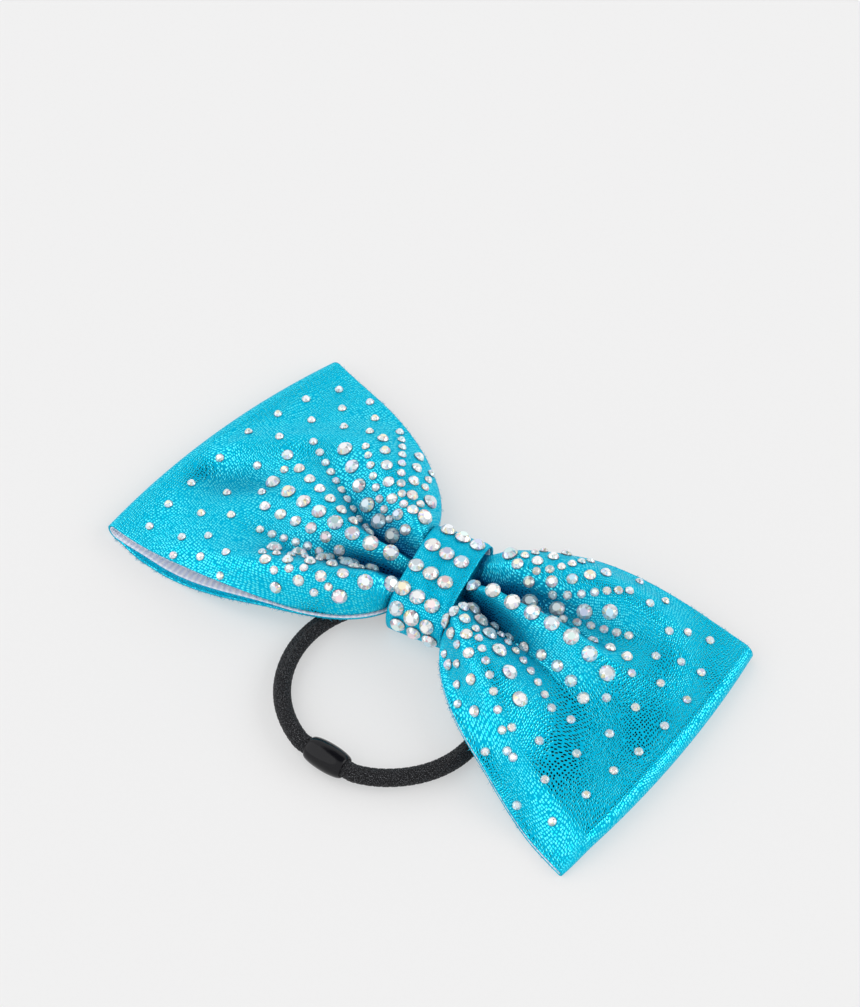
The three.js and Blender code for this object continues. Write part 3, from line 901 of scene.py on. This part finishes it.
# The rows fan out from the band. Sizes from the central ridge outwards, how far each row goes
# along the loop in the upper and the lower half, and the pitch of each size, as shares of it.
ROW_SIZES = "BMsBsMsMsB"
ROW_ENDS = {
    (-1, 1): (0.74, 0.77, 0.73, 0.61, 0.55, 0.56, 0.60, 0.53, 0.42, 0.28),
    (-1, -1): (0.74, 0.67, 0.61, 0.50, 0.51, 0.48, 0.44, 0.43, 0.30, 0.21),
    (1, 1): (0.68, 0.66, 0.58, 0.46, 0.54, 0.46, 0.58, 0.42, 0.40, 0.28),
    (1, -1): (0.68, 0.69, 0.66, 0.59, 0.67, 0.50, 0.57, 0.42, 0.40, 0.28),
}
ROW_STARTS = (0.02, 0.10, 0.12, 0.12, 0.14, 0.10, 0.14, 0.10, 0.13, 0.02)
ROW_PITCH = {"B": 0.093, "M": 0.076, "s": 0.050}
# How far apart the rows are beside the band and how they spread, as shares of the half width, and
# how the ridge pushes them aside, and how far out it does.
ROW_STEP = 0.07
ROW_FAN = {-1: 0.14, 1: 0.20}
ROWS_WITHIN = 0.975
RIDGE_PUSH = 0.18
PUSHED_UP_TO = {(-1, 1): 0.34, (-1, -1): 0.42, (1, 1): 0.34, (1, -1): 0.60}
SCATTER_ARCS = (0.66, 0.74, 0.84, 0.95)
SCATTER_STEP = 0.235
SCATTER_WITHIN = 0.95
ARC_BEND = 0.06


def add_clear_stone(stones, point, normal, size, painted_shade):
    """Adds a crystal unless it would overlap one that is there already."""
    for other, _, other_size, _ in stones:
        if np.linalg.norm(point - other) < CLOSEST * (SIZES[size][0] + SIZES[other_size][0]):
            return
    stones.append((point, normal, size, painted_shade))


def loop_stones(side):
    """One loop's crystals, the big ones first: the rows, then small scattered ones."""
    stones = []
    for k in sorted(range(len(ROW_SIZES)), key=lambda row: "BMs".index(ROW_SIZES[row])):
        size = ROW_SIZES[k]
        for half in ((1,) if k == 0 else (1, -1)):
            for u in np.arange(ROW_ENDS[side, half][k], ROW_STARTS[k], -ROW_PITCH[size]):
                t = half * k * (ROW_STEP + ROW_FAN[side] * u)
                if k > 0:
                    t += half * RIDGE_PUSH / k * (1 - ease(0.08, PUSHED_UP_TO[side, half], u))
                if abs(t) < ROWS_WITHIN:
                    point, normal, painted_shade = on_front(side, u, t)
                    add_clear_stone(stones, point, normal, size, painted_shade)
    # Scattered small crystals towards the fold, in staggered arcs.
    for arc, u in enumerate(SCATTER_ARCS):
        for place in np.arange(-4, 5) + (0.5 if arc % 2 else 0.0):
            t = place * SCATTER_STEP + random_state.uniform(-0.02, 0.02)
            beyond_rows = arc > 0 or abs(t) > 0.55
            if abs(t) < SCATTER_WITHIN and beyond_rows:
                along = u - ARC_BEND * t * t + random_state.uniform(-0.01, 0.01)
                point, normal, painted_shade = on_front(side, along, t)
                add_clear_stone(stones, point, normal, "s", painted_shade)
    return stones


for side, which in ((-1, "left"), (1, "right")):
    loop_crystals = stones_object(f"crystals_{which}_loop", loop_stones(side))
    dress(loop_crystals, crystal_glass, "crystal", *[f"crystal_{which}_ridge_{i}" for i in range(1, 9)])

# Each row on the band: how far over the top its middle crystal lies from the far side, and how far
# along the neck.
BAND_ROWS = ((7.8, 0.6), (14.7, -0.4), (21.9, -1.3), (29.1, -1.4), (34.2, -0.8), (38.3, 0.3))
BAND_SPACING = 4.25
BAND_SLANT = 0.17
BAND_GLUE = 0.1


def band_stones():
    """Rows of three big crystals over the band's domed top."""
    angles = np.linspace(0, math.pi, 241)
    points = dome_points(angles)
    travelled = np.concatenate([[0], np.cumsum(np.linalg.norm(np.diff(points, axis=0), axis=1))])
    stones = []
    for over, middle in BAND_ROWS:
        for offset in (-BAND_SPACING, 0, BAND_SPACING):
            wanted = min(over + BAND_SLANT * offset, travelled[-1])
            i = int(np.searchsorted(travelled, wanted))
            tangent = unit(points[i] - points[i - 1])
            point = knot_to_frame(middle + offset, *points[i])
            out = np.array([tangent[1] * ACROSS[0], tangent[1] * ACROSS[1], -tangent[0]])
            stones.append((point + out * BAND_GLUE, out, "B", 0.0))
    return stones


band_crystals = stones_object("crystals_center_band", band_stones())
dress(band_crystals, crystal_glass, "crystal",
      *[f"crystal_band_{row}_{column}" for row in range(1, 7) for column in range(1, 4)])


# ---- Hair elastic and bead ----
END_GAP = 0.004
STRAIGHT_FACING = 0.8
SAG_DEPTH = 0.75
# Where the elastic sags to the floor, as shares of its way round: from, fully, still and no more.
SAGS = ((0.1, 0.22, 0.34, 0.46), (0.56, 0.66, 0.80, 0.92))
YARNS = 7
YARN_PITCH = 1.9
YARN_DEPTH = 0.08
YARN_HEIGHT = 0.13
SLEEVE_SIDES = 28


def soft_min(a, b, blend):
    """The smaller of two lengths, rounded where they are about the same."""
    closeness = max(blend - abs(a - b), 0) / blend
    return min(a, b) - closeness * closeness * blend / 4


def elastic_path(count):
    """Centreline of the hair elastic, open at the bead's middle."""
    points = []
    for share in np.linspace(0, 1, count):
        angle = BEAD_ANGLE + END_GAP + share * (2 * math.pi - 2 * END_GAP)
        radius = RING_RADIUS
        channel = math.cos(angle - math.pi / 2)
        bead = math.cos(angle - BEAD_ANGLE)
        if channel > STRAIGHT_FACING:
            radius = soft_min(radius, CHANNEL_CHORD / channel, 1)
        if bead > STRAIGHT_FACING:
            radius = soft_min(radius, BEAD_CHORD / bead, 0.3)
        sag = sum(SAG_DEPTH * ease(start, low, share) * (1 - ease(rise, end, share))
                  for start, low, rise, end in SAGS)
        points.append(knot_to_frame(RING_MIDDLE[0] + radius * math.cos(angle),
                                    RING_MIDDLE[1] + radius * math.sin(angle), RING_HEIGHT - sag))
    return np.array(points)


elastic_line = elastic_path(900)
elastic_length = float(np.linalg.norm(np.diff(elastic_line, axis=0), axis=1).sum())


def braid_radius(share, angles):
    """The braid's ribs: two sets of yarns that wind round in opposite directions."""
    along = share * elastic_length
    turn = along * 2 * math.pi / YARN_PITCH
    weave = np.maximum(np.sin(YARNS * angles + turn), np.sin(YARNS * angles - turn))
    return ELASTIC_RADIUS - YARN_DEPTH + YARN_HEIGHT * weave


sleeve = tube_mesh("hair_elastic_braid", elastic_line, braid_radius, SLEEVE_SIDES)
sleeve_uv = np.stack([np.repeat(np.linspace(0, elastic_length, len(elastic_line)), SLEEVE_SIDES),
                      np.tile(np.arange(SLEEVE_SIDES) * 2 * math.pi * ELASTIC_RADIUS / SLEEVE_SIDES,
                              len(elastic_line))], axis=1)
set_uv(sleeve, sleeve_uv)
dress(sleeve, braid_black, "braid", "elastic_braided_sleeve", body="hair_tie")

repaint("elastic_rubber_core", rubber_black)


BEAD_BORE = ELASTIC_RADIUS + 0.1
BEAD_RIM = BEAD_BORE + 0.3
MOUTH_DEPTH = 0.5
BEAD_OVAL = 1.1


def bead_mesh(steps=34, sides=64):
    """Oval bead with a widened bore mouth, turned about the elastic."""
    profile = [(BEAD_BORE, -BEAD_LENGTH / 2 + MOUTH_DEPTH)]
    for angle in np.linspace(-math.pi / 2, math.pi / 2, steps):
        profile.append((BEAD_RIM + (BEAD_RADIUS - BEAD_RIM) * math.cos(angle) ** BEAD_OVAL,
                        BEAD_LENGTH / 2 * math.sin(angle)))
    profile.append((BEAD_BORE, BEAD_LENGTH / 2 - MOUTH_DEPTH))
    centre = knot_to_frame(RING_MIDDLE[0] + BEAD_CHORD * math.cos(BEAD_ANGLE),
                           RING_MIDDLE[1] + BEAD_CHORD * math.sin(BEAD_ANGLE), RING_HEIGHT)
    axis = knot_to_frame(-math.sin(BEAD_ANGLE), math.cos(BEAD_ANGLE), 0.0) - knot_to_frame(0.0, 0.0, 0.0)
    outward = np.array([axis[1], -axis[0], 0.0])
    angles = np.arange(sides) * 2 * math.pi / sides
    circle = np.outer(np.cos(angles), outward) + np.outer(np.sin(angles), [0, 0, 1])
    points = np.concatenate([centre + axis * along + radius * circle for radius, along in profile])
    starts = [i * sides for i in range(len(profile))]
    return mesh_object("hair_elastic_bead", points, ring_faces(zip(starts[1:] + starts[:1], starts), sides))


bead = bead_mesh()
dress(bead, bead_black, "bead", "elastic_joining_bead", body="hair_tie")

repaint("gathering_thread", thread_white)


# ---- Studio ----
def floor_material():
    """Pale paper that also gives off some white light, which keeps the shadows on it pale."""
    n = new_material("studio_floor_paper")
    where = n.add("ShaderNodeTexCoord").outputs["Object"]
    fibre = n.noise(where, 900.0)
    n.set(Base_Color=n.mix(fibre, (0.405, 0.403, 0.400), (0.417, 0.415, 0.412)), Roughness=0.9,
          Specular_IOR_Level=0.0, Emission_Color=(1.0, 1.0, 1.0, 1.0), Emission_Strength=0.42)
    return n.owner


FLOOR_REACH = 6000.0
FLOOR_LEVEL = -0.05
corners = np.array([(-1, -1, 0), (1, -1, 0), (1, 1, 0), (-1, 1, 0)]) * FLOOR_REACH
floor = mesh_object("studio_floor", corners + [0, 0, FLOOR_LEVEL], [(0, 1, 2, 3)])
floor.data.materials.append(floor_material())


STUDIO_PALE = (0.985, 0.985, 0.995)
STUDIO_DARK = (0.012, 0.014, 0.02)
DARK_TOWARDS = (0.02, 0.40, 0.91)
DARK_OUTER = math.radians(34)
DARK_INNER = math.radians(18)


def studio_world():
    """Pale all round, with one dark part of the ceiling for the foil and crystals to reflect."""
    n = Nodes(bpy.data.worlds.new("studio_world"), "Background")
    direction = n.add("ShaderNodeTexCoord").outputs["Generated"]
    facing = n.vector("DOT_PRODUCT", direction, Vector(DARK_TOWARDS).normalized())
    dark = n.ramp(facing, math.cos(DARK_OUTER), math.cos(DARK_INNER))
    n.set(Color=n.mix(dark, STUDIO_PALE, STUDIO_DARK), Strength=1.0)
    return n.owner


bpy.context.scene.world = studio_world()


def sun(name, towards, strength, angle):
    """A soft light from the direction of a point seen from the object."""
    light = bpy.data.lights.new(name, "SUN")
    light.energy = strength
    light.angle = math.radians(angle)
    obj = bpy.data.objects.new(name, light)
    obj.rotation_mode = "QUATERNION"
    obj.rotation_quaternion = Vector(towards).to_track_quat("Z", "Y")
    bpy.context.scene.collection.objects.link(obj)


sun("softbox_back", (0.80, 0.60, 0.62), 0.85, 44)
sun("softbox_front", (-0.70, -0.55, 0.85), 0.80, 80)

CAMERA_LENS = 114.45
CAMERA_AZIMUTH = math.radians(41.79)
CAMERA_ELEVATION = math.radians(52.39)
CAMERA_DISTANCE = 0.800
CAMERA_AIM = Vector((-20.90, 22.297, 0.0)) * MM


def add_camera():
    """The camera, seen from its aim: azimuth from -Y towards +X, and elevation over the floor."""
    camera = bpy.data.cameras.new("photo_camera")
    camera.lens = CAMERA_LENS
    camera.sensor_width = 36.0
    camera.clip_start = 0.05
    camera.clip_end = 30.0
    obj = bpy.data.objects.new("photo_camera", camera)
    bpy.context.scene.collection.objects.link(obj)
    back = Vector((math.sin(CAMERA_AZIMUTH) * math.cos(CAMERA_ELEVATION),
                   -math.cos(CAMERA_AZIMUTH) * math.cos(CAMERA_ELEVATION), math.sin(CAMERA_ELEVATION)))
    obj.location = CAMERA_AIM + back * CAMERA_DISTANCE
    obj.rotation_mode = "QUATERNION"
    obj.rotation_quaternion = back.to_track_quat("Z", "Y")
    bpy.context.scene.camera = obj


add_camera()
bpy.context.scene.view_settings.view_transform = "Standard"
bpy.context.scene.cycles.max_bounces = 6
